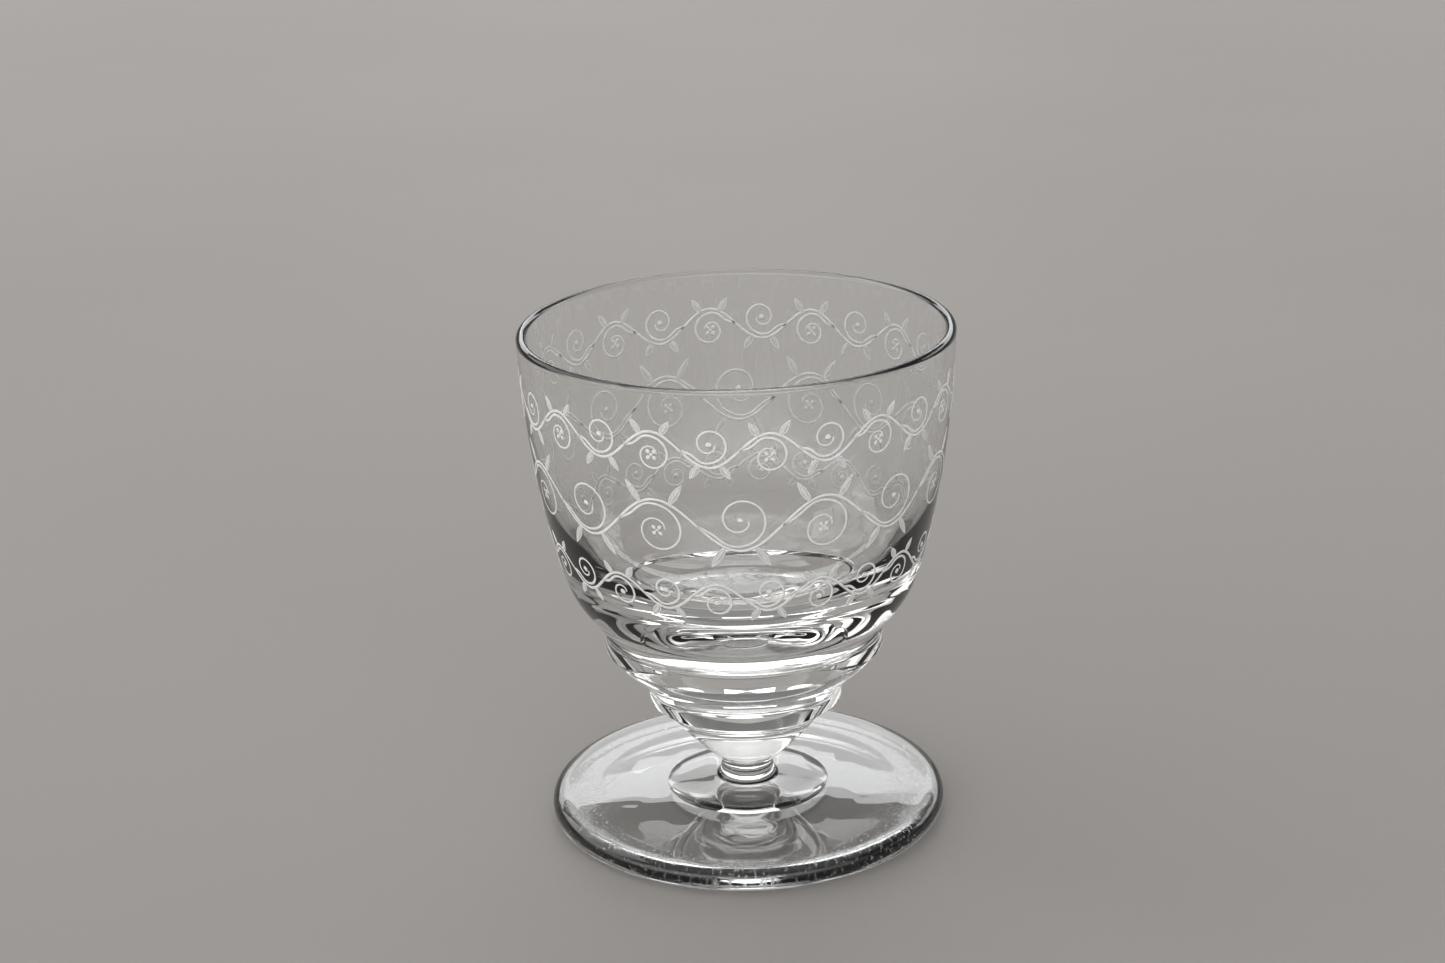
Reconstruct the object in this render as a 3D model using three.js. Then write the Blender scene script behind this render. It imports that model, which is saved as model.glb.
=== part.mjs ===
// A small footed shot glass: an open bowl on two stacked glass discs, a very short stem
// and a round foot. Every piece is a body of revolution about Z, and each rests on the
// next at a flat disc, where the real pieces are welded together hot.
// Millimetres, +Z up. The origin is the centre of the circle that the foot stands on.
import * as THREE from "three";

// Driving dimensions
const HEIGHT = 60; // table to lip
const RIM_RADIUS = 25; // outside of the lip
const LIP_THICKNESS = 1.2; // fire-polished, so its edge is a half circle
const FLOOR_HEIGHT = 26.3; // inside of the bowl, at its middle
const UPPER_DISC_RADIUS = 16.45;
const LOWER_DISC_RADIUS = 11.4;
const BUTTON_RADIUS = 9.6; // the low dome between the stem and the foot
const FOOT_RADIUS = 23.5; // the widest circle of the foot
const FOOT_EDGE_HEIGHT = 3.1; // thickness of the foot at its rounded edge
const FOOT_TOP = 3.3; // height of the flat that carries the button
const UNDERSIDE_HOLLOW = 0.7; // how far the middle of the foot clears the table
const CONTACT_RING = { inner: 18.6, outer: 21.4 }; // the flat that the glass stands on

// Welds: the height of each joint, and the radius of the round flats that meet there
const BOWL_WELD = { z: 23.8, r: 16.15 };
const MERESE_WELD = { z: 16.3, r: 11.3 };
const STEM_WELD = { z: 6.8, r: 3.1 };
const BUTTON_WELD = { z: 4.2, r: 3.7 };

// Fineness of the faceted solids
const SIDES = 60;
const STEPS = 2; // straight pieces between two given points of a curve

const clearGlass = () =>
  new THREE.MeshStandardMaterial({
    color: 0xe9efee,
    roughness: 0.04,
    metalness: 0,
    transparent: true,
    opacity: 0.35,
  });

const points = (pairs) => pairs.map(([r, z]) => new THREE.Vector2(r, z));

// Turns an outline (radius, height) about the Z axis. The outline starts on the axis,
// runs out and up the outside, and comes back to the axis, so that its faces look outwards.
function turned(name, outline) {
  const geometry = new THREE.LatheGeometry(outline.getPoints(STEPS), SIDES);
  geometry.rotateX(Math.PI / 2);
  const mesh = new THREE.Mesh(geometry, clearGlass());
  mesh.name = name;
  return mesh;
}

// The blown bowl: a cup with a thin wall that gets thicker towards its rounded bottom.
function bowl() {
  const lip = LIP_THICKNESS / 2;
  const lipZ = HEIGHT - lip;
  const outline = new THREE.Path();
  outline.moveTo(0, BOWL_WELD.z);
  outline.lineTo(BOWL_WELD.r, BOWL_WELD.z);
  outline.splineThru(
    points([
      [17.9, 26.0],
      [20.3, 29.8],
      [22.15, 36.5],
      [23.6, 44.0],
      [24.5, 51.5],
      [RIM_RADIUS, lipZ],
    ]),
  );
  outline.absarc(RIM_RADIUS - lip, lipZ, lip, 0, Math.PI, false);
  outline.splineThru(
    points([
      [23.3, 51.5],
      [22.3, 44.0],
      [21.0, 38.3],
      [19.2, 34.3],
      [16.4, 30.8],
      [12.6, 28.2],
      [8.3, 26.8],
      [4.2, 26.35],
      [0, FLOOR_HEIGHT],
    ]),
  );
  return turned("bowl", outline);
}

// A merese: a disc of glass with an upright rim, a rounded shoulder that dips to the weld
// above it, and an underside that narrows through the points of its taper to the weld below.
function merese({ name, above, below, radius, rim, taper }) {
  const outline = new THREE.Path();
  outline.moveTo(0, below.z);
  outline.lineTo(below.r, below.z);
  outline.splineThru(points([...taper, [radius, rim.bottom]]));
  outline.lineTo(radius, rim.top);
  outline.quadraticCurveTo(radius, above.z, above.r, above.z);
  outline.lineTo(0, above.z);
  return turned(name, outline);
}

const upperMerese = () =>
  merese({
    name: "upper_merese",
    above: BOWL_WELD,
    below: MERESE_WELD,
    radius: UPPER_DISC_RADIUS,
    rim: { bottom: 21.7, top: 23.2 },
    taper: [
      [13.3, 18.4],
      [15.2, 20.2],
    ],
  });

// The lower disc runs down in a cone to the waist of the stem.
const lowerMerese = () =>
  merese({
    name: "lower_merese",
    above: MERESE_WELD,
    below: STEM_WELD,
    radius: LOWER_DISC_RADIUS,
    rim: { bottom: 14.7, top: 15.8 },
    taper: [
      [4.7, 7.9],
      [7.0, 10.2],
      [9.3, 12.9],
    ],
  });

// The stem: a short neck that widens a little towards the button.
function stem() {
  const outline = new THREE.Path();
  outline.moveTo(0, BUTTON_WELD.z);
  outline.lineTo(BUTTON_WELD.r, BUTTON_WELD.z);
  outline.bezierCurveTo(3.2, 4.8, 2.95, 5.6, STEM_WELD.r, STEM_WELD.z);
  outline.lineTo(0, STEM_WELD.z);
  return turned("stem", outline);
}

// The button: the low dome of glass that carries the stem on the foot.
function footButton() {
  const outline = new THREE.Path();
  outline.moveTo(0, FOOT_TOP);
  outline.lineTo(BUTTON_RADIUS, FOOT_TOP);
  outline.bezierCurveTo(8.6, 3.9, 5.5, 3.9, BUTTON_WELD.r, BUTTON_WELD.z);
  outline.lineTo(0, BUTTON_WELD.z);
  return turned("foot_button", outline);
}

// The foot: a round plate with a half-round edge, hollowed a little underneath.
function foot() {
  const edgeMiddle = FOOT_EDGE_HEIGHT / 2;
  const hollowBend = CONTACT_RING.inner * 0.6; // the radius where the hollow starts to curve down
  const outline = new THREE.Path();
  outline.moveTo(0, UNDERSIDE_HOLLOW);
  outline.quadraticCurveTo(hollowBend, UNDERSIDE_HOLLOW, CONTACT_RING.inner, 0);
  outline.lineTo(CONTACT_RING.outer, 0);
  outline.quadraticCurveTo(FOOT_RADIUS, 0, FOOT_RADIUS, edgeMiddle);
  outline.quadraticCurveTo(FOOT_RADIUS, FOOT_EDGE_HEIGHT, 21.4, FOOT_EDGE_HEIGHT);
  outline.lineTo(BUTTON_RADIUS, FOOT_TOP);
  outline.lineTo(0, FOOT_TOP);
  return turned("foot", outline);
}

const glass = new THREE.Group();
glass.add(bowl(), upperMerese(), lowerMerese(), stem(), footButton(), foot());

export default glass;
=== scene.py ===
"""A small footed shot glass with an etched scrollwork band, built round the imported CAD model."""

import math

import bpy
import numpy as np
from mathutils import Matrix, Vector


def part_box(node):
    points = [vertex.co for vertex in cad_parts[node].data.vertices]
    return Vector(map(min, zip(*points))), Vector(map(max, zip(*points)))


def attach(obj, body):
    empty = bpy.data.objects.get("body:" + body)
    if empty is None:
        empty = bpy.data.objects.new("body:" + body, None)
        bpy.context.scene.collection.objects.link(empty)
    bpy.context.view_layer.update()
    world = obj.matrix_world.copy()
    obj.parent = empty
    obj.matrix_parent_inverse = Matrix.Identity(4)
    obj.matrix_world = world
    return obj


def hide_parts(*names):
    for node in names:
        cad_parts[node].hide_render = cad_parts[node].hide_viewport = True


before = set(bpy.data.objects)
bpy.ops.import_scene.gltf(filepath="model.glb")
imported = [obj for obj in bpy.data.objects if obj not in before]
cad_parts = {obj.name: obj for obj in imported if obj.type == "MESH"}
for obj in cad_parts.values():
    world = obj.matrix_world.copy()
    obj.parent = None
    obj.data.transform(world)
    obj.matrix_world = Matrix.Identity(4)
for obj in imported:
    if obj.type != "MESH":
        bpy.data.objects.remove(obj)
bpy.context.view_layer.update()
MM = 0.001
BODY = "root"

# The glass in millimetres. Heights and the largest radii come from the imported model.
NODES = ("bowl", "upper_merese", "lower_merese", "stem", "foot_button", "foot")
BOX = {node: [np.array(corner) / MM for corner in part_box(node)] for node in NODES}
HEIGHT = BOX["bowl"][1][2]
RIM_RADIUS = BOX["bowl"][1][0]
LIP_THICKNESS = 1.2
FLOOR_HEIGHT = 26.3
FOOT_EDGE_HEIGHT = 3.1
UNDERSIDE_HOLLOW = 0.7
CONTACT_RING = (18.6, 21.4)
WELD_RADIUS = {"bowl": 16.15, "upper_merese": 11.3, "lower_merese": 3.1, "stem": 3.7}  # under each
UPPER_RIM, LOWER_RIM = (21.7, 23.2), (14.7, 15.8)  # bottom and top of each disc's upright rim
UPPER_TAPER = [(13.3, 18.4), (15.2, 20.2)]  # (radius, height) on each disc's underside
LOWER_TAPER = [(4.7, 7.9), (7.0, 10.2), (9.3, 12.9)]
FOOT_SHOULDER = 21.4  # the radius where the foot's top starts to round over
HOLLOW_BEND = 0.6  # where the hollow under the foot starts to curve down, as a part of its radius
SIDES = 240  # faces round each turned piece
SHARP_ANGLE = math.radians(38)  # two faces that meet at more than this are shaded with an edge
SAME_HEIGHT = 1e-4  # millimetres
SAME_POINT = 1e-6
FLOOR_GAP = 0.04  # the air between the foot and the table, so that they aren't in optical contact


# ---------------------------------------------------------------- small helpers


def catmull_rom(points, steps):
    """Points on a curve through the given ones, steps to each stretch, ends included."""
    p = np.array(points, float)
    p = np.vstack([p[0], p, p[-1]])
    t = np.linspace(0, 1, steps, endpoint=False)[:, None]
    out = []
    for a, b, c, d in zip(p, p[1:], p[2:], p[3:]):
        v0, v1 = (c - a) / 2, (d - b) / 2
        out.append((2 * b - 2 * c + v0 + v1) * t**3 + (3 * c - 3 * b - 2 * v0 - v1) * t**2 + v0 * t + b)
    return np.vstack(out + [p[-1:]])


def bezier(points, steps):
    """Points on one Bezier curve with these control points, ends included."""
    p = np.array(points, float)
    n = len(p) - 1
    t = np.linspace(0, 1, steps + 1)[:, None]
    return sum(math.comb(n, k) * (1 - t) ** (n - k) * t**k * p[k] for k in range(n + 1))


def half_circle(centre, radius, steps):
    """The upper half of a circle, from its outer side to its inner side."""
    a = np.linspace(0, math.pi, steps + 1)
    return np.stack([centre[0] + radius * np.cos(a), centre[1] + radius * np.sin(a)], 1)


def add_object(name, verts, faces, materials, face_slots=None, smooth=True):
    """A mesh object in metres from points in millimetres."""
    mesh = bpy.data.meshes.new(name)
    mesh.from_pydata((np.asarray(verts) * MM).tolist(), [], faces)
    for material in materials:
        mesh.materials.append(material)
    if face_slots is not None:
        mesh.polygons.foreach_set("material_index", np.asarray(face_slots, np.int32))
    mesh.polygons.foreach_set("use_smooth", np.full(len(mesh.polygons), smooth))
    mesh.update()
    mesh.validate()
    obj = bpy.data.objects.new(name, mesh)
    bpy.context.scene.collection.objects.link(obj)
    return obj


# ---------------------------------------------------------------- materials


class Nodes:
    """Short names for building one material's node tree."""

    def __init__(self, name):
        self.material = bpy.data.materials.new(name)
        self.material.use_nodes = True
        self.tree = self.material.node_tree
        self.tree.nodes.clear()
        self.output = self.add("ShaderNodeOutputMaterial")

    def add(self, kind, **settings):
        node = self.tree.nodes.new(kind)
        for key, value in settings.items():
            setattr(node, key, value)
        return node

    def link(self, source, target):
        self.tree.links.new(source, target)

    def object_point(self):
        return self.add("ShaderNodeTexCoord").outputs["Object"]

    def noise(self, point, scale, detail=2.0, roughness=0.5):
        node = self.add("ShaderNodeTexNoise")
        node.inputs["Scale"].default_value = scale
        node.inputs["Detail"].default_value = detail
        node.inputs["Roughness"].default_value = roughness
        self.link(point, node.inputs["Vector"])
        return node.outputs["Fac"]

    def remap(self, value, from_low, from_high, to_low, to_high):
        node = self.add("ShaderNodeMapRange")
        names = ("From Min", "From Max", "To Min", "To Max")
        for key, number in zip(names, (from_low, from_high, to_low, to_high)):
            node.inputs[key].default_value = number
        self.link(value, node.inputs["Value"])
        return node.outputs["Result"]

    def maths(self, operation, a, b):
        node = self.add("ShaderNodeMath", operation=operation)
        for socket, value in zip(node.inputs, (a, b)):
            if isinstance(value, (int, float)):
                socket.default_value = value
            else:
                self.link(value, socket)
        return node.outputs[0]

    def bump(self, height, distance, strength=1.0):
        node = self.add("ShaderNodeBump")
        node.inputs["Strength"].default_value = strength
        node.inputs["Distance"].default_value = distance
        self.link(height, node.inputs["Height"])
        return node.outputs["Normal"]


def clear_glass(name, wave_scale, wave_depth):
    """Fire-polished glass: faint waves from the hot work, and scuffs where it touches the table."""
    scuffed_height = 0.3 * MM
    n = Nodes(name)
    point = n.object_point()
    glass = n.add("ShaderNodeBsdfPrincipled")
    glass.inputs["Base Color"].default_value = (0.985, 0.99, 0.985, 1)
    glass.inputs["Transmission Weight"].default_value = 1.0
    glass.inputs["IOR"].default_value = 1.53
    split = n.add("ShaderNodeSeparateXYZ")
    n.link(point, split.inputs[0])
    near_table = n.remap(split.outputs["Z"], 0.0, scuffed_height, 1.0, 0.0)
    scuffs = n.remap(n.noise(point, 2600, 4), 0.45, 0.7, 0.0, 0.35)
    haze = n.remap(n.noise(point, 90, 3), 0.35, 0.75, 0.0, 0.02)
    n.link(n.maths("ADD", haze, n.maths("MULTIPLY", near_table, scuffs)), glass.inputs["Roughness"])
    n.link(n.bump(n.noise(point, wave_scale, 1), wave_depth), glass.inputs["Normal"])
    n.link(glass.outputs[0], n.output.inputs["Surface"])
    return n.material


def weld():
    """The inside of a hot weld: the two pieces are one body of glass there, so it can't be seen."""
    n = Nodes("weld")
    n.link(n.add("ShaderNodeBsdfTransparent").outputs[0], n.output.inputs["Surface"])
    return n.material


def etched_glass(name, low, high, patch_scale):
    """Acid-etched glass: a matt, grainy skin that scatters light from both sides. Its whiteness
    goes from low to high in patches."""
    n = Nodes(name)
    point = n.object_point()
    grain = n.noise(point, 9000, 3, 0.7)
    patches = n.remap(n.noise(point, patch_scale, 2), 0.3, 0.7, 0.0, 1.0)
    skin = n.add("ShaderNodeBsdfPrincipled")
    tone = n.add("ShaderNodeMix", data_type="RGBA")
    tone.inputs["A"].default_value = (low, low, 0.99 * low, 1)
    tone.inputs["B"].default_value = (high, high, 0.99 * high, 1)
    n.link(patches, tone.inputs["Factor"])
    n.link(tone.outputs["Result"], skin.inputs["Base Color"])
    skin.inputs["Subsurface Weight"].default_value = 1.0
    skin.inputs["Subsurface Radius"].default_value = (1, 1, 1)
    skin.inputs["Subsurface Scale"].default_value = 0.08 * MM
    n.link(n.remap(grain, 0.3, 0.7, 0.45, 0.75), skin.inputs["Roughness"])
    n.link(n.bump(grain, 0.02 * MM, 0.6), skin.inputs["Normal"])
    n.link(skin.outputs[0], n.output.inputs["Surface"])
    return n.material


def pale_floor():
    """Matt pale paint, a little uneven in tone."""
    n = Nodes("studio_floor")
    point = n.object_point()
    paint = n.add("ShaderNodeBsdfPrincipled")
    tone = n.add("ShaderNodeMix", data_type="RGBA")
    tone.inputs["A"].default_value = (0.255, 0.242, 0.231, 1)
    tone.inputs["B"].default_value = (0.289, 0.275, 0.264, 1)
    n.link(n.noise(point, 6, 3), tone.inputs["Factor"])
    n.link(tone.outputs["Result"], paint.inputs["Base Color"])
    paint.inputs["Roughness"].default_value = 0.5
    paint.inputs["Specular IOR Level"].default_value = 0.05
    n.link(paint.outputs[0], n.output.inputs["Surface"])
    return n.material


# ---------------------------------------------------------------- the glass


def hand_worked(points):
    """The small unevenness of hot-worked glass. It only ever pulls a point towards the axis."""
    most = 0.0022  # of the radius
    reach = 1.5  # the most that the two waves below come to
    x, y, z = points.T
    angle = np.arctan2(y, x)
    low = 1 - np.clip(z / HEIGHT, 0, 1)
    wave = np.sin(2 * angle + 0.7) * (0.3 + 0.7 * low) + 0.5 * np.sin(3 * angle + z / 9 + 1.9)
    pull = 1 - most * (reach + wave) / (2 * reach) * (z > 0)
    return np.stack([x * pull, y * pull, z], 1)


def turned(name, outline, materials, weld_heights):
    """Turns an outline (radius, height) from axis to axis. Flat discs at the weld heights get slot 1."""
    outline = np.asarray(outline, float)
    keep = np.r_[True, np.linalg.norm(np.diff(outline, axis=0), axis=1) > SAME_POINT]
    outline = outline[keep]
    rings = outline[1:-1]
    turn = np.arange(SIDES) * 2 * math.pi / SIDES
    circle = np.stack([np.cos(turn), np.sin(turn)], 1)
    verts = [np.array([[0, 0, outline[0, 1]]])]
    for radius, height in rings:
        verts.append(np.column_stack([circle * radius, np.full(SIDES, height)]))
    verts.append(np.array([[0, 0, outline[-1, 1]]]))
    verts = hand_worked(np.vstack(verts))
    first, last = 0, len(verts) - 1

    def is_weld(a, b):
        return any(abs(a[1] - z) < SAME_HEIGHT and abs(b[1] - z) < SAME_HEIGHT for z in weld_heights)

    faces, slots = [], []
    for i in range(SIDES):
        j = (i + 1) % SIDES
        faces.append((first, 1 + j, 1 + i))
        slots.append(int(is_weld(outline[0], outline[1])))
    for k in range(len(rings) - 1):
        base = 1 + k * SIDES
        slot = int(is_weld(rings[k], rings[k + 1]))
        for i in range(SIDES):
            j = (i + 1) % SIDES
            faces.append((base + i, base + j, base + SIDES + j, base + SIDES + i))
            slots.append(slot)
    base = 1 + (len(rings) - 1) * SIDES
    for i in range(SIDES):
        j = (i + 1) % SIDES
        faces.append((base + i, base + j, last))
        slots.append(int(is_weld(outline[-2], outline[-1])))
    obj = add_object(name, verts, faces, materials, slots)
    obj.data.set_sharp_from_angle(angle=SHARP_ANGLE)
    return obj


LIP = LIP_THICKNESS / 2
BOWL_OUTSIDE = catmull_rom(
    [
        (WELD_RADIUS["bowl"], BOX["bowl"][0][2]),
        (17.9, 26.0),
        (20.3, 29.8),
        (22.15, 36.5),
        (23.6, 44.0),
        (24.5, 51.5),
        (RIM_RADIUS, HEIGHT - LIP),
    ],
    steps=24,
)
BOWL_INSIDE = catmull_rom(
    [
        (RIM_RADIUS - LIP_THICKNESS, HEIGHT - LIP),
        (23.3, 51.5),
        (22.3, 44.0),
        (21.0, 38.3),
        (19.2, 34.3),
        (16.4, 30.8),
        (12.6, 28.2),
        (8.3, 26.8),
        (4.2, 26.35),
        (0, FLOOR_HEIGHT),
    ],
    steps=20,
)


def bowl(materials):
    """The open cup, from the weld under it up the outside, over the lip and down the inside."""
    weld_z = BOX["bowl"][0][2]
    lip = half_circle((RIM_RADIUS - LIP, HEIGHT - LIP), LIP, steps=16)
    outline = np.vstack([[(0, weld_z)], BOWL_OUTSIDE, lip, BOWL_INSIDE])
    return turned("bowl_glass", outline, materials, [weld_z])


def merese(node, materials, rim, taper, above_radius):
    """A disc with an upright rim, a shoulder up to the weld above and a taper down to the one below."""
    low, high = BOX[node]
    below_radius = WELD_RADIUS[node]
    side = catmull_rom([(below_radius, low[2]), *taper, (high[0], rim[0])], steps=18)
    shoulder = bezier([(high[0], rim[1]), (high[0], high[2]), (above_radius, high[2])], steps=14)
    outline = np.vstack([[(0, low[2])], side, shoulder, [(0, high[2])]])
    return turned(f"{node}_glass", outline, materials, [low[2], high[2]])


def stem(materials):
    """The short neck, which widens a little towards the button."""
    low, high = BOX["stem"]
    foot_end, disc_end = WELD_RADIUS["stem"], WELD_RADIUS["lower_merese"]
    side = bezier([(foot_end, low[2]), (3.2, 4.8), (2.95, 5.6), (disc_end, high[2])], steps=20)
    outline = np.vstack([[(0, low[2])], side, [(0, high[2])]])
    return turned("stem_glass", outline, materials, [low[2], high[2]])


def foot_button(materials):
    """The low dome that carries the neck on the foot."""
    low, high = BOX["foot_button"]
    end = (WELD_RADIUS["stem"], high[2])
    side = bezier([(high[0], low[2]), (8.6, 3.9), (5.5, 3.9), end], steps=24)
    outline = np.vstack([[(0, low[2])], side, [(0, high[2])]])
    return turned("foot_button_glass", outline, materials, [low[2], high[2]])


def foot(materials):
    """The round plate: hollow underneath, flat where it stands, with a rounded edge."""
    low, high = BOX["foot"]
    inner, outer = CONTACT_RING
    radius = high[0]
    middle = FOOT_EDGE_HEIGHT / 2
    bend = (inner * HOLLOW_BEND, UNDERSIDE_HOLLOW)
    shoulder = (FOOT_SHOULDER, FOOT_EDGE_HEIGHT)
    hollow = bezier([(0, UNDERSIDE_HOLLOW), bend, (inner, 0)], steps=30)
    under_edge = bezier([(outer, 0), (radius, 0), (radius, middle)], steps=14)
    over_edge = bezier([(radius, middle), (radius, FOOT_EDGE_HEIGHT), shoulder], steps=14)
    button = BOX["foot_button"][1][0]
    top = np.linspace(over_edge[-1], (button, high[2]), 12)
    outline = np.vstack([hollow, under_edge, over_edge, top, [(0, high[2])]])
    return turned("foot_glass", outline, materials, [high[2]])


# ---------------------------------------------------------------- the etched band

# The band is three running scrolls, one above the other, all made by the same rule: a stem that
# rises and falls like a wave, a coil inside each of its bends, and leaves outside them. It is plain
# scrollwork worked out here from these few numbers. Lengths are in millimetres on the wall.
# Each row says how many waves go round, the height of the stem's middle, how far the stem rises and
# falls, the coils' radius, the degrees where the first wave starts, and what sits in the upper coils.
# The lower coils always hold a berry.
ROWS = [
    {"waves": 12, "middle": 53.2, "rise": 1.9, "coil": 2.15, "start": 0.0, "middle_of_coil": "flower"},
    {"waves": 8, "middle": 44.3, "rise": 2.9, "coil": 3.2, "start": 11.0, "middle_of_coil": "flower"},
    {"waves": 12, "middle": 35.4, "rise": 1.7, "coil": 1.85, "start": 15.0, "middle_of_coil": "berry"},
]
STEM_WIDTHS = (0.34, 0.34, 0.34)  # of a line, at its start, middle and end
COIL_WIDTHS = (0.34, 0.28, 0.2)
STEM_STEPS = 12  # stretches of the curve in one wave
COIL_STEPS = 14  # and in one coil
COIL_ROOT = 1.45  # how far before its middle a coil leaves the stem, in radii
COIL_START = math.radians(150)  # where on its circle the coil begins
COIL_TURNS = 1.4
COIL_OUTSIDE = 1.08  # the spiral's radius where it begins, in radii
COIL_CLOSING = 0.78  # and how much it loses on the way in
COIL_GAP = 0.5  # between the stem's bend and the coil's circle
FLOWER_SIZE = 0.5
BERRY_RADIUS = 0.34
LEAF_WIDTH = 0.8
LEAF_RISE = 0.85  # the height of a leaf, as a part of the stem's rise
LEAF_LEAN = 0.5  # how far its tip leans outwards, in coil radii
LEAF_SPREAD = 0.09  # how far from the bend's top it stands, in wave lengths

RELIEF = 0.035  # how far the etched skin stands off the wall, in millimetres
LIFT = 0.006  # and how far its underside does
CURVE_STEP = 0.12
LEAF_RIM = 0.15  # width of the bright line round a leaf

WALL_Z = BOWL_OUTSIDE[:, 1]
WALL_R = BOWL_OUTSIDE[:, 0]


def wall_radius(z):
    """The bowl's outer radius at this height."""
    return np.interp(z, WALL_Z, WALL_R)


def wall_slope(z):
    """How fast that radius grows with height."""
    near = 0.2
    return (wall_radius(z + near) - wall_radius(z - near)) / (2 * near)


def on_wall(u, z, off):
    """Places (degrees, height) points on the bowl's outer wall, off millimetres outside it."""
    radius, slope = wall_radius(z), wall_slope(z)
    lean = np.arctan(slope)
    angle = np.radians(u)
    out = radius + off * np.cos(lean)
    flat = np.stack([out * np.cos(angle), out * np.sin(angle), z - off * np.sin(lean)], -1)
    return hand_worked(flat.reshape(-1, 3)).reshape(flat.shape)


def to_panel(points):
    """(degrees, height) to millimetres along the wall, so that circles are drawn round."""
    p = np.array(points, float)
    return np.stack([p[:, 0] * math.radians(1) * wall_radius(p[:, 1]), p[:, 1]], 1)


def from_panel(p):
    """The way back, from millimetres along the wall to (degrees, height)."""
    return np.stack([p[..., 0] / (math.radians(1) * wall_radius(p[..., 1])), p[..., 1]], -1)


def smooth_curve(points):
    """A natural cubic spline through the points, sampled every CURVE_STEP."""
    p = np.array(points, float)
    gaps = np.sqrt(np.linalg.norm(np.diff(p, axis=0), axis=1))
    t = np.r_[0, np.cumsum(gaps)]
    n, h = len(p), np.diff(t)
    system, right = np.eye(n), np.zeros((n, 2))
    for i in range(1, n - 1):
        system[i, i - 1 : i + 2] = h[i - 1], 2 * (h[i - 1] + h[i]), h[i]
        right[i] = 6 * ((p[i + 1] - p[i]) / h[i] - (p[i] - p[i - 1]) / h[i - 1])
    bend = np.linalg.solve(system, right)
    out = []
    for i in range(n - 1):
        steps = max(3, int(np.linalg.norm(p[i + 1] - p[i]) / CURVE_STEP))
        s = np.linspace(0, h[i], steps, endpoint=False)[:, None]
        slope = (p[i + 1] - p[i]) / h[i] - h[i] * (2 * bend[i] + bend[i + 1]) / 6
        out.append(p[i] + slope * s + bend[i] / 2 * s**2 + (bend[i + 1] - bend[i]) / (6 * h[i]) * s**3)
    return np.vstack(out + [p[-1:]])


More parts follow.
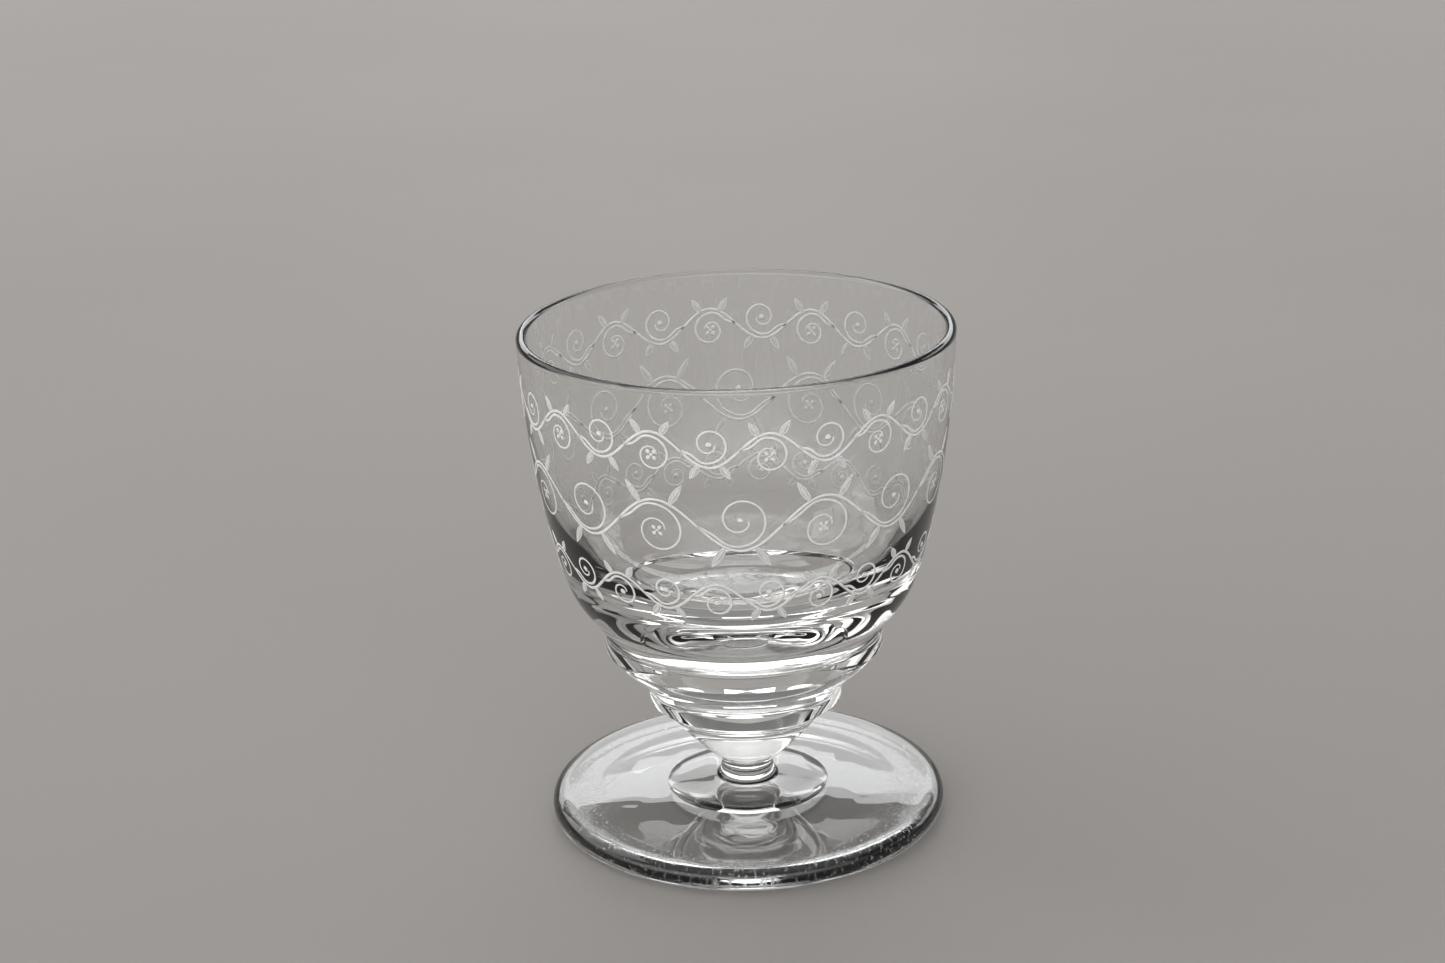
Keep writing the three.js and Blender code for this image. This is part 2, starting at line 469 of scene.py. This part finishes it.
class Skin:
    """Collects many small domed shapes on the wall into one mesh."""

    def __init__(self):
        self.verts, self.faces, self.count = [], [], 0

    def strip(self, left, middle, right):
        """A solid ribbon between two edges, domed along its middle, in panel millimetres."""
        flank = 0.75 * RELIEF
        rims = [left, (left + middle) / 2, middle, (middle + right) / 2, right, middle]
        heights = [LIFT, flank, RELIEF, flank, LIFT, LIFT]
        self.rings(rims, heights, len(middle))

    def rings(self, rims, heights, rows):
        """Joins rows of points, one point on each rim, into a tube with closed ends."""
        sides, base = len(rims), self.count
        block = []
        for rim, height in zip(rims, heights):
            flat = from_panel(rim)
            block.append((flat[:, 0], flat[:, 1], np.full(rows, height)))
        u = np.stack([b[0] for b in block], 1)
        z = np.stack([b[1] for b in block], 1)
        off = np.stack([b[2] for b in block], 1)
        self.verts.append((u, z, off))
        for i in range(rows - 1):
            a, b = base + i * sides, base + (i + 1) * sides
            for k in range(sides):
                m = (k + 1) % sides
                self.faces.append((a + k, a + m, b + m, b + k))
        self.faces.append(tuple(base + k for k in reversed(range(sides))))
        self.faces.append(tuple(base + (rows - 1) * sides + k for k in range(sides)))
        self.count += rows * sides

    def line(self, points, widths):
        """A line with rounded ends, whose width changes from start to middle to end."""
        tip, rounding = 0.02, 0.12
        path = smooth_curve(to_panel(points))
        way = np.gradient(path, axis=0)
        way /= np.linalg.norm(way, axis=1)[:, None]
        across = np.stack([-way[:, 1], way[:, 0]], 1)
        along = np.linspace(0, 1, len(path))
        half = np.interp(along, [0, 0.5, 1], widths) / 2
        from_end = np.minimum(np.arange(len(path)), np.arange(len(path))[::-1]) * CURVE_STEP
        half = half * np.sqrt(np.minimum((from_end + tip) / rounding, 1))
        half = half[:, None]
        self.strip(path + across * half, path, path - across * half)

    def leaf(self, start, end, width, part):
        """A leaf's outline, which is two ribbons that meet at its tips, or the blade inside it."""
        rows = 18
        fullness, tip, widest_rim = 0.8, 0.02, 0.7
        a, b = to_panel([start, end])
        t = np.linspace(0, 1, rows)[:, None]
        way = b - a
        across = np.array([-way[1], way[0]]) / np.linalg.norm(way)
        spine = a + way * t
        half = width / 2 * np.sin(math.pi * t**fullness) ** fullness + tip
        inner = half - np.minimum(LEAF_RIM, widest_rim * half)
        if part == "blade":
            self.strip(spine + across * inner, spine, spine - across * inner)
        else:
            middle = (half + inner) / 2
            self.strip(spine + across * half, spine + across * middle, spine + across * inner)
            self.strip(spine - across * inner, spine - across * middle, spine - across * half)

    def blob(self, centre, radius_u, radius_z, turn=0.0):
        """A domed disc or oval."""
        rows, least = 9, 0.01
        lean = np.linspace(-1, 1, rows)
        chord = np.sqrt(np.clip(1 - lean**2, least, 1))
        c, s = math.cos(turn), math.sin(turn)
        axis, across = np.array([c, s]), np.array([-s, c])
        spine = centre + axis * (lean * radius_u)[:, None]
        reach = across * (chord * radius_z)[:, None]
        self.strip(spine + reach, spine, spine - reach)

    def berry(self, place, radius):
        self.blob(to_panel([place])[0], radius, radius)

    def flower(self, place, size):
        """Four petals round a bud. Their sizes are parts of the flower's own."""
        length, breadth, bud = 0.55, 0.5, 0.36
        centre = to_panel([place])[0]
        for quarter in range(4):
            turn = (quarter + 0.5) * math.pi / 2
            way = np.array([math.cos(turn), math.sin(turn)])
            self.blob(centre + way * size, length * size, breadth * size, turn)
        self.blob(centre, bud * size, bud * size)

    def repeated(self, axes):
        """The mesh of all shapes, once at each angle round the bowl."""
        u = np.concatenate([b[0].ravel() for b in self.verts])
        z = np.concatenate([b[1].ravel() for b in self.verts])
        off = np.concatenate([b[2].ravel() for b in self.verts])
        verts, faces = [], []
        for axis in axes:
            base = len(u) * len(verts)
            verts.append(on_wall(axis + u, z, off))
            faces += [tuple(base + v for v in reversed(face)) for face in self.faces]
        return np.vstack(verts), faces


def beside(u, z, across):
    """The place that is this many millimetres along the wall from the angle u, at height z."""
    return u + across / (math.radians(1) * float(wall_radius(z))), z


def scroll_shapes(waves, middle, rise, coil, start, middle_of_coil):
    """One wave of a row, as Skins of its lines, leaf outlines, leaf blades, flowers and berries."""
    lines, outlines, blades, flowers, berries = (Skin() for _ in range(5))
    width = 360 / waves
    wave_length = width * math.radians(1) * float(wall_radius(middle))

    def on_stem(u):
        return u, middle + rise * math.sin(2 * math.pi * (u - start) / width)

    stem_line = [on_stem(start + width * k / STEM_STEPS) for k in range(STEM_STEPS + 1)]
    lines.line(stem_line, STEM_WIDTHS)
    for side, bend in ((1, start + width / 4), (-1, start + width * 3 / 4)):
        centre_z = middle + side * (rise - coil - COIL_GAP)
        path = [on_stem(beside(bend, middle, -COIL_ROOT * coil)[0])]
        for k in range(COIL_STEPS + 1):
            t = k / COIL_STEPS
            angle = COIL_START - t * COIL_TURNS * 2 * math.pi
            radius = coil * (COIL_OUTSIDE - COIL_CLOSING * t)
            z = centre_z + side * radius * math.sin(angle)
            path.append(beside(bend, z, radius * math.cos(angle)))
        lines.line(path, COIL_WIDTHS)
        if middle_of_coil == "flower" and side > 0:
            flowers.flower((bend, centre_z), FLOWER_SIZE)
        else:
            berries.berry((bend, centre_z), BERRY_RADIUS)
        for lean in (-1, 1):
            foot_u, foot_z = on_stem(beside(bend, middle, lean * LEAF_SPREAD * wave_length)[0])
            tip = beside(foot_u, foot_z + side * LEAF_RISE * rise, lean * LEAF_LEAN * coil)
            outlines.leaf((foot_u, foot_z), tip, LEAF_WIDTH, "outline")
            blades.leaf((foot_u, foot_z), tip, LEAF_WIDTH, "blade")
    return {
        "etched_scrolls": lines,
        "etched_leaves": outlines,
        "etched_leaf_blades": blades,
        "etched_flowers": flowers,
        "etched_berries": berries,
    }


def etched_band(bright, faint):
    """The etched pieces: each kind of shape, from all the rows, all round the bowl."""
    parts = {}
    for row in ROWS:
        axes = [360 / row["waves"] * k for k in range(row["waves"])]
        for name, skin in scroll_shapes(**row).items():
            if skin.verts:
                parts.setdefault(name, []).append(skin.repeated(axes))
    pieces = []
    for name, groups in parts.items():
        verts, faces, base = [], [], 0
        for group_verts, group_faces in groups:
            faces += [tuple(base + i for i in face) for face in group_faces]
            verts.append(group_verts)
            base += len(group_verts)
        material = faint if name == "etched_leaf_blades" else bright
        pieces.append(add_object(name, np.vstack(verts), faces, [material]))
    return pieces


# ---------------------------------------------------------------- the set


GLASS_MIDDLE = Vector((0, 0, 0.03))  # what the lights point at, in metres
SKY, PALE_SKY, WARM = (0.97, 0.985, 1.0), (0.98, 0.99, 1.0), (1.0, 0.99, 0.97)  # colours of light


def studio_floor():
    """One large square under the glass."""
    reach, low = 3000.0, -FLOOR_GAP
    corners = [(-reach, -reach, low), (reach, -reach, low), (reach, reach, low), (-reach, reach, low)]
    floor = add_object("studio_floor", corners, [(0, 1, 2, 3)], [pale_floor()], smooth=False)


def soft_light(name, place, size, power, colour):
    """A rectangular soft box that is seen in the glass but not by the camera itself."""
    data = bpy.data.lights.new(name, "AREA")
    data.shape = "RECTANGLE"
    data.size, data.size_y = size
    data.energy = power
    data.color = colour
    light = bpy.data.objects.new(name, data)
    light.location = place
    light.rotation_euler = (GLASS_MIDDLE - light.location).to_track_quat("-Z", "Y").to_euler()
    light.visible_camera = False
    bpy.context.scene.collection.objects.link(light)


def lights():
    """Windows behind the glass and beside it, and the light of the room."""
    soft_light("window", (0.05, 1.5, 0.62), (2.2, 0.28), 4.6, SKY)
    soft_light("low_window", (-0.04, 1.5, 0.41), (0.45, 0.14), 0.44, SKY)
    soft_light("high_window", (0.1, 1.0, 1.13), (0.8, 0.7), 4.0, PALE_SKY)
    soft_light("left_window", (-1.04, 0.55, 0.95), (1.3, 1.1), 8.0, WARM)
    soft_light("right_window", (1.2, 0.95, 0.62), (0.8, 0.4), 2.0, WARM)
    bpy.context.scene.world = studio_air()


def studio_air():
    """The light of the room: a broad glow low in front and to the left, fainter behind, and a bright
    zenith. Everything in it fades slowly, so that it shows no edges in the glass."""
    world = bpy.data.worlds.new("studio")
    world.use_nodes = True
    tree = world.node_tree
    way = tree.nodes.new("ShaderNodeTexCoord").outputs["Generated"]
    front = tree.nodes.new("ShaderNodeVectorMath")
    front.operation = "DOT_PRODUCT"
    front.inputs[1].default_value = Vector((-0.35, -0.93, 0)).normalized()
    tree.links.new(way, front.inputs[0])
    height = tree.nodes.new("ShaderNodeSeparateXYZ")
    tree.links.new(way, height.inputs[0])

    def ramp(value, from_low, from_high, to_low, to_high):
        node = tree.nodes.new("ShaderNodeMapRange")
        node.interpolation_type = "SMOOTHSTEP"
        for socket, number in zip(node.inputs[1:5], (from_low, from_high, to_low, to_high)):
            socket.default_value = number
        tree.links.new(value, node.inputs["Value"])
        return node.outputs["Result"]

    rise = ramp(height.outputs["Z"], 0.0, 0.3, 0.25, 1.0)
    fall = ramp(height.outputs["Z"], 0.3, 0.85, 1.0, 0.0)
    band = tree.nodes.new("ShaderNodeMath")
    band.operation = "MULTIPLY"
    tree.links.new(rise, band.inputs[0])
    tree.links.new(fall, band.inputs[1])
    glow = tree.nodes.new("ShaderNodeMath")
    glow.operation = "MULTIPLY_ADD"
    tree.links.new(ramp(front.outputs["Value"], -0.2, 1.0, 0.2, 3.0), glow.inputs[0])
    tree.links.new(band.outputs[0], glow.inputs[1])
    tree.links.new(ramp(height.outputs["Z"], 0.6, 0.9, 0.1, 0.9), glow.inputs[2])
    tree.links.new(glow.outputs[0], tree.nodes["Background"].inputs["Strength"])
    tree.nodes["Background"].inputs["Color"].default_value = (1, 0.99, 0.98, 1)
    return world


def camera():
    """A camera 0.3 m away that looks down at the glass, rolled slightly clockwise."""
    place = Vector((0, -0.2895, 0.1435))
    pitch, yaw, roll = (math.radians(a) for a in (19.46, -0.40, -1.67))
    ahead = Vector((math.sin(yaw) * math.cos(pitch), math.cos(yaw) * math.cos(pitch), -math.sin(pitch)))
    level = ahead.cross(Vector((0, 0, 1))).normalized()
    upright = level.cross(ahead)
    right = level * math.cos(roll) + upright * math.sin(roll)
    up = upright * math.cos(roll) - level * math.sin(roll)
    data = bpy.data.cameras.new("camera")
    data.sensor_width = 36
    data.lens = 66.14
    data.clip_start = 0.01
    eye = bpy.data.objects.new("camera", data)
    turn = Matrix((right, up, -ahead)).transposed().to_4x4()
    eye.matrix_world = Matrix.Translation(place) @ turn
    bpy.context.scene.collection.objects.link(eye)
    bpy.context.scene.camera = eye


def build():
    """The camera, the pieces on their bodies, and the set."""
    camera()
    plain = clear_glass("blown_glass", 60, 0.02 * MM)
    worked = clear_glass("worked_glass", 180, 0.03 * MM)
    joint = weld()
    slots = [worked, joint]
    pieces = {
        "bowl": bowl([plain, joint]),
        "upper_merese": merese("upper_merese", slots, UPPER_RIM, UPPER_TAPER, WELD_RADIUS["bowl"]),
        "lower_merese": merese("lower_merese", slots, LOWER_RIM, LOWER_TAPER, WELD_RADIUS["upper_merese"]),
        "stem": stem(slots),
        "foot_button": foot_button(slots),
        "foot": foot(slots),
    }
    for node, piece in pieces.items():
        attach(piece, BODY)
        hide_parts(node)
    bright = etched_glass("etched_glass", 0.80, 0.97, 700)
    faint = etched_glass("lightly_etched_glass", 0.48, 0.88, 9000)
    for piece in etched_band(bright, faint):
        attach(piece, BODY)
    studio_floor()
    lights()
    cycles = bpy.context.scene.cycles
    cycles.max_bounces = 24
    cycles.transmission_bounces = 24
    cycles.transparent_max_bounces = 32
    bpy.context.scene.view_settings.view_transform = "Standard"


build()
